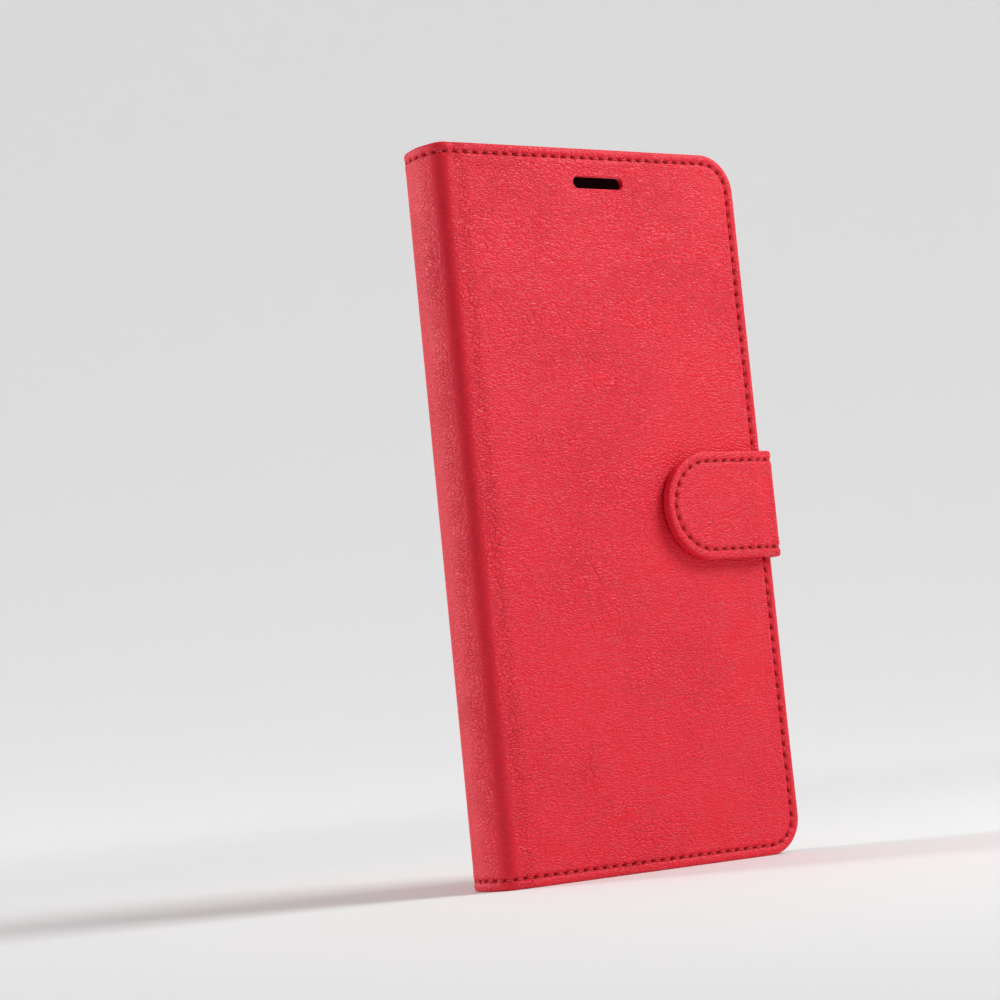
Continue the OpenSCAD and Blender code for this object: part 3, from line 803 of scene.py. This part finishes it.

# %% [markdown]
# ## Leather as a material
# This leather is a coated one: pebbles about a millimetre across, wider than they are tall,
# parted by fine wavy creases that drift across the cover. The pattern is a Voronoi diagram read
# in the sheet's own millimetres, warped twice by noise so that the cells wander, and squeezed so
# that they lie flat. Its cracks are the valleys of a bump, with painted shade darkening them. From
# the marks written on the mesh, stitch holes and the bend by the spine get painted shade, edges
# are lighter as part wear and part painted highlight, and the hinge is more wrinkled.

# %% Node helper
class Tree:
    """Adds nodes to a material and links their inputs in one call."""

    def __init__(self, name):
        self.material = bpy.data.materials.new(name)
        self.material.use_nodes = True
        self.tree = self.material.node_tree
        self.shader = self.tree.nodes["Principled BSDF"]

    def add(self, kind, inputs=None, out=0, **settings):
        node = self.tree.nodes.new("ShaderNode" + kind)
        for key, value in settings.items():
            setattr(node, key, value)
        for key, value in (inputs or {}).items():
            self.put(node.inputs[key], value)
        return node.outputs[out]

    def put(self, socket, value):
        if isinstance(value, bpy.types.NodeSocket):
            self.tree.links.new(value, socket)
        else:
            socket.default_value = value

    def math(self, operation, a, b=0.0, c=0.0):
        return self.add("Math", {0: a, 1: b, 2: c}, operation=operation)

    def mul_add(self, a, b, c):
        return self.math("MULTIPLY_ADD", a, b, c)

    def between(self, value, low, high, out_low=0.0, out_high=1.0, **settings):
        return self.add("MapRange", {0: value, 1: low, 2: high, 3: out_low, 4: out_high}, **settings)

    def blend(self, share, low, high):
        return self.add("Mix", {0: share, 6: low, 7: high}, out=2, data_type="RGBA")

    def noise(self, place, scale, detail, out=0, **inputs):
        return self.add("TexNoise", {"Vector": place, "Scale": scale, "Detail": detail, **inputs}, out=out)

    def mark(self, key):
        return self.add("Attribute", out=2, attribute_name=key)

    def finish(self, **values):
        for key, value in values.items():
            self.put(self.shader.inputs[key.replace("_", " ")], value)
        return self.material


# %% Leather
SMOOTH = dict(interpolation_type="SMOOTHSTEP")


def cracks(t, warped, squeeze, width):
    """0 in the cracks between Voronoi cells and 1 inside them, in a pattern squeezed along each axis."""
    place = t.add("VectorMath", {0: warped, 1: squeeze}, operation="MULTIPLY")
    gap = t.add("TexVoronoi", {"Vector": place, "Scale": 1.0, "Randomness": 1.0},
                feature="DISTANCE_TO_EDGE", voronoi_dimensions="2D")
    return t.between(gap, 0.0, width, **SMOOTH)


def wander(t, mm, scale, reach, onto):
    """The place onto, pushed about by a noise of that scale, by up to half the reach each way."""
    push = t.noise(mm, scale, 2.0, out=1)
    push = t.add("VectorMath", {0: push, 1: (0.5, 0.5, 0.5)}, operation="SUBTRACT")
    return t.add("VectorMath", {0: push, 1: reach, 2: onto}, operation="MULTIPLY_ADD")


def leather(name, colour, deep, roughness, grain, strength):
    """Pebbled coated leather. grain scales the pebbles' size, strength the depth of the creases."""
    t = Tree(name)
    mm = t.add("VectorMath", {0: t.add("TexCoord", out=2), 3: UV_MM / grain}, operation="SCALE")
    warped = wander(t, mm, 0.06, (3.0, 9.0, 0.0), mm)
    warped = wander(t, mm, 0.55, (1.2, 0.95, 0.0), warped)
    crack, fold = cracks(t, warped, (0.58, 1.35, 1.0), 0.26), cracks(t, warped, (0.22, 0.75, 1.0), 0.20)
    crease_and_bend_shade, pit, rim = t.mark("crease_and_bend_shade"), t.mark("pit"), t.mark("rim")

    # height: pebbles, longer folds in some places, pores and soft lumps; deeper where crumpled
    where = t.between(t.noise(mm, 0.16, 1.0), 0.35, 0.65, 0.35, 1.0)
    height = t.mul_add(t.math("MULTIPLY", fold, where), 0.42, t.math("MULTIPLY", crack, 0.50))
    height = t.mul_add(t.noise(mm, 5.5, 3.0, Roughness=0.6), 0.10, height)
    height = t.mul_add(t.noise(mm, 1.1, 2.0), 0.55, height)
    depth = t.mul_add(crease_and_bend_shade, 0.9, t.between(t.noise(mm, 0.03, 1.0), 0.35, 0.65, 0.6, 1.15))
    height = t.math("MULTIPLY", height, depth)
    bump = t.add("Bump", {"Strength": 1.0, "Distance": 0.00019 * strength * grain, "Height": height})

    # tone: mottled at random; painted shade darkens the cracks and the bend by the spine; rims lighter, part wear
    # and part painted highlight
    # painted shade: the grain's cracks and folds are coloured darker through valley
    valley = t.mul_add(crack, 0.5, t.math("MULTIPLY", fold, 0.5))
    mottle = t.noise(mm, 0.05, 4.0)
    tone = t.mul_add(valley, 0.32, t.mul_add(mottle, 0.16, 0.68))
    # painted shade over the bend where the crease mark is below 0; rims lighter, part wear and part painted
    # highlight
    tone = t.mul_add(t.math("MINIMUM", crease_and_bend_shade, 0.0), 0.35, t.mul_add(rim, 0.10, tone))
    # painted shade: stitch holes are coloured much darker than the leather
    pit_shade_colour = (*(0.4 * channel for channel in deep), 1)
    shade = t.blend(pit, t.blend(tone, (*deep, 1), (*colour, 1)), pit_shade_colour)
    rough = t.mul_add(valley, -0.06, t.mul_add(mottle, 0.10, roughness - 0.05))
    rough = t.mul_add(pit, 0.25, rough)
    return t.finish(Base_Color=shade, Roughness=rough, Normal=bump, Specular_IOR_Level=0.29)


leather_red = leather("red_leather", (0.83, 0.016, 0.040), (0.50, 0.004, 0.012), 0.48, 0.88, 1.3)
lining_red = leather("lining_leather", (0.72, 0.024, 0.04), (0.42, 0.006, 0.012), 0.5, 0.8, 0.8)
pocket_red = leather("pocket_leather", (0.78, 0.025, 0.043), (0.46, 0.006, 0.012), 0.46, 0.85, 0.85)
print("leathers ready")

# %% [markdown]
# ## Thread, plastic, board and metal
# The thread is two strands twisted together, so its bump is a diagonal wave over its length and
# its girth. The plastic of the tray is matt black with a fine spark-eroded grain. The board is
# grey-brown pulp with short fibres, and the two plates of the snap are bright and dark metal.

# %% Other materials
def thread_material():
    """Twisted thread: a sine of the distance along it plus the turn round it, with a little fuzz."""
    t = Tree("red_thread")
    uv = t.add("TexCoord", out=2)
    split = t.add("SeparateXYZ", {0: uv}).node.outputs
    lean = t.mul_add(split[1], 1.0, t.math("MULTIPLY", split[0], 2.6))
    wave = t.math("SINE", t.math("MULTIPLY", lean, 2 * math.pi))
    fuzz = t.noise(uv, 40.0, 3.0)
    bump = t.add("Bump", {"Strength": 0.6, "Distance": 0.00004, "Height": t.mul_add(fuzz, 0.4, wave)})
    # painted shade: the tone follows the bump's height, darker in the twist's grooves and low fuzz
    tone = t.mul_add(wave, 0.12, t.mul_add(fuzz, 0.3, 0.6))
    shade = t.blend(tone, (0.42, 0.006, 0.012, 1), (0.78, 0.02, 0.035, 1))
    return t.finish(Base_Color=shade, Roughness=0.5, Normal=bump)


def moulded(name, colour, roughness, grain_mm, strength=1.0, metallic=0.0, mottling=0.15):
    """Fine even grain read from Object coordinates, with slight changes of tone and roughness."""
    t = Tree(name)
    place = t.add("TexCoord", out=3)
    grain = t.noise(place, 1 / (grain_mm * MM), 3.0, Roughness=0.55)
    patch = t.noise(place, 60.0, 3.0)
    bump = t.add("Bump", {"Strength": 0.35 * strength, "Distance": 0.00003, "Height": grain})
    shade = t.blend(t.mul_add(patch, mottling * 2, 1 - mottling), (0, 0, 0, 1), (*colour, 1))
    rough = t.mul_add(patch, 0.12, roughness - 0.06)
    return t.finish(Base_Color=shade, Roughness=rough, Normal=bump, Metallic=metallic)


thread_red = thread_material()
tray_black = moulded("tray_plastic", (0.036, 0.036, 0.034), 0.55, 0.35)
pad_black = moulded("pad_plastic", (0.032, 0.032, 0.030), 0.48, 0.3)
board_brown = moulded("pulp_board", (0.36, 0.30, 0.23), 0.9, 0.5, 2.0, mottling=0.3)
steel_bright = moulded("strike_steel", (0.58, 0.57, 0.55), 0.28, 0.2, 0.5, 1.0, 0.05)
magnet_dark = moulded("magnet_nickel", (0.30, 0.30, 0.31), 0.35, 0.2, 0.5, 1.0, 0.08)


def dress(piece, material):
    piece.data.materials.clear()
    piece.data.materials.append(material)


for material, slot, pieces in ((leather_red, "leather", (*skins.values(), strap_root, strap_tab)),
                               (lining_red, "lining", linings.values()),
                               (pocket_red, "pocket_leather", pockets.values()),
                               (thread_red, "thread",
                                (front_thread, back_thread, web_thread, tab_thread, card_thread))):
    for piece in pieces:
        dress(piece, material)
finishes = {"leather": leather_red, "pocket_leather": pocket_red, "lining": lining_red, "thread": thread_red,
            "board": board_brown, "tray": tray_black, "pads": pad_black, "steel": steel_bright,
            "magnet": magnet_dark}
for row in frame["record"]["materials"]:
    for node in row.get("nodes", []):
        dress(frame["nodes"][node], finishes[row["slot"]])
print("materials on", len(frame["nodes"]), "CAD nodes")

# %% [markdown]
# ## What moves with what
# A piece that crosses a hinge has its placement baked into its points and is not bound to a body.
# The others ride on one body. Each new piece stands for the CAD nodes it replaces.

# %% Bodies
rear_bend = ("back_cover", "spine", (-39, 1), (-43, -3))
front_bend = ("spine", "front_cover", (-43, -12), (-40, -15))
root_bend = ("back_cover", "strap_web", (43.3, 0.7), (45.2, -1.2))
tab_bend = ("strap_web", "strap_tab", (45.2, -15.0), (43.3, -16.9))
for (a, b, start, end), pieces in (
        (rear_bend, {skins["back"]: ("back_outer_leather", "rear_bend_leather"),
                     linings["back"]: ("back_lining", "rear_bend_lining"), back_thread: ("back_stitching",)}),
        (front_bend, {skins["front"]: ("front_outer_leather", "front_bend_leather", "spine_leather"),
                      linings["front"]: ("front_lining", "front_bend_lining", "spine_lining"),
                      front_thread: ("front_stitching", "spine_stitching")}),
        (root_bend, {strap_root: ("strap_anchor", "strap_root_bend", "strap_web_leather", "strap_web_lining"),
                     web_thread: ("web_stitching",)}),
        (tab_bend, {strap_tab: ("strap_front_bend", "tab_leather", "tab_lining"),
                    tab_thread: ("tab_stitching",)})):
    for piece, nodes in pieces.items():
        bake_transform(piece)
        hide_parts(*nodes)
        print(piece.name, "follows", a, "and", b)
for node, piece in pockets.items():
    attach(piece, "front_cover")
    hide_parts(node)
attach(card_thread, "front_cover")

# %% [markdown]
# ## Studio
# The floor is pale and curves up far away on every side, like a bowl of paper, so no horizon line
# is seen, and it glows a little behind the case. One large soft box stands high on the right of
# the front and one on the left behind the spine. The rounded hinge faces the gap between them
# and stays darker.

# %% Floor and lights
FLAT, WALL, ROUND = 0.9, 2.2, 96  # metres of flat floor and of the wall's curve, and points round


def bowl():
    """Revolves a profile about Z: flat, then a quarter circle up to a wall."""
    a = np.linspace(0, math.pi / 2, 24)
    r = np.concatenate([np.linspace(0.1, FLAT, 12), FLAT + WALL * np.sin(a[1:])])
    z = np.concatenate([np.zeros(12), WALL - WALL * np.cos(a[1:])])
    rr, tt = np.meshgrid(r, np.linspace(0, 2 * math.pi, ROUND, endpoint=False), indexing="ij")
    points = np.stack([rr * np.cos(tt), rr * np.sin(tt), z[:, None] + 0 * tt], -1).reshape(-1, 3) / MM
    grid = np.arange(rr.size).reshape(rr.shape)
    nxt = np.roll(grid, -1, 1)
    quads = np.stack([grid[:-1], grid[1:], nxt[1:], nxt[:-1]], -1).reshape(-1, 4)
    return make_piece("floor", points, [quads, grid[0][None]], sharp=180)


def soft_box(name, azimuth, elevation, distance, size, power, aim=(0.0, -0.0075, 0.084)):
    """A rectangular lamp that faces the case. Azimuth 0 is the front, 90 the strap's side."""
    lamp = bpy.data.lights.new(name, "AREA")
    lamp.shape, lamp.size, lamp.size_y, lamp.energy = "RECTANGLE", *size, power
    holder = bpy.data.objects.new(name, lamp)
    bpy.context.scene.collection.objects.link(holder)
    a, e = math.radians(azimuth), math.radians(elevation)
    way = Vector((math.sin(a) * math.cos(e), -math.cos(a) * math.cos(e), math.sin(e)))
    holder.location = Vector(aim) + way * distance
    holder.rotation_mode = "QUATERNION"
    holder.rotation_quaternion = way.to_track_quat("Z", "Y")
    holder.visible_camera = False


BEHIND = (0.61, 0.79, 0.0)  # the level direction in which the backdrop glows


def paper_material():
    """White matt paper. Its glow rises with the distance behind the case, eased over the first metre."""
    t = Tree("paper")
    place = t.add("TexCoord", out=3)
    bump = t.add("Bump", {"Strength": 0.1, "Distance": 0.0001, "Height": t.noise(place, 400.0, 2.0)})
    distance = t.add("VectorMath", {0: place, 1: BEHIND}, out="Value", operation="DOT_PRODUCT")
    glow = t.between(distance, 0.1, 1.1, 0.0, 0.31, **SMOOTH)
    return t.finish(Base_Color=(0.84, 0.84, 0.84, 1), Roughness=0.9, Normal=bump,
                    Emission_Color=(1, 1, 1, 1), Emission_Strength=glow)


floor = bowl()
dress(floor, paper_material())
world = bpy.data.worlds.new("studio")
bpy.context.scene.world = world
world.use_nodes = True
sky = world.node_tree.nodes["Background"].inputs
sky["Color"].default_value, sky["Strength"].default_value = (1, 1, 1, 1), 0.36
soft_box("key_right", 46, 42, 0.8, (0.4, 0.35), 5.1)
soft_box("fill_left", -137, 14, 1.2, (0.35, 1.0), 8)
bpy.context.scene.view_settings.view_transform = "Standard"
bpy.context.scene.view_settings.exposure = 0.0
print("lamps:", [lamp.name for lamp in bpy.data.lights])
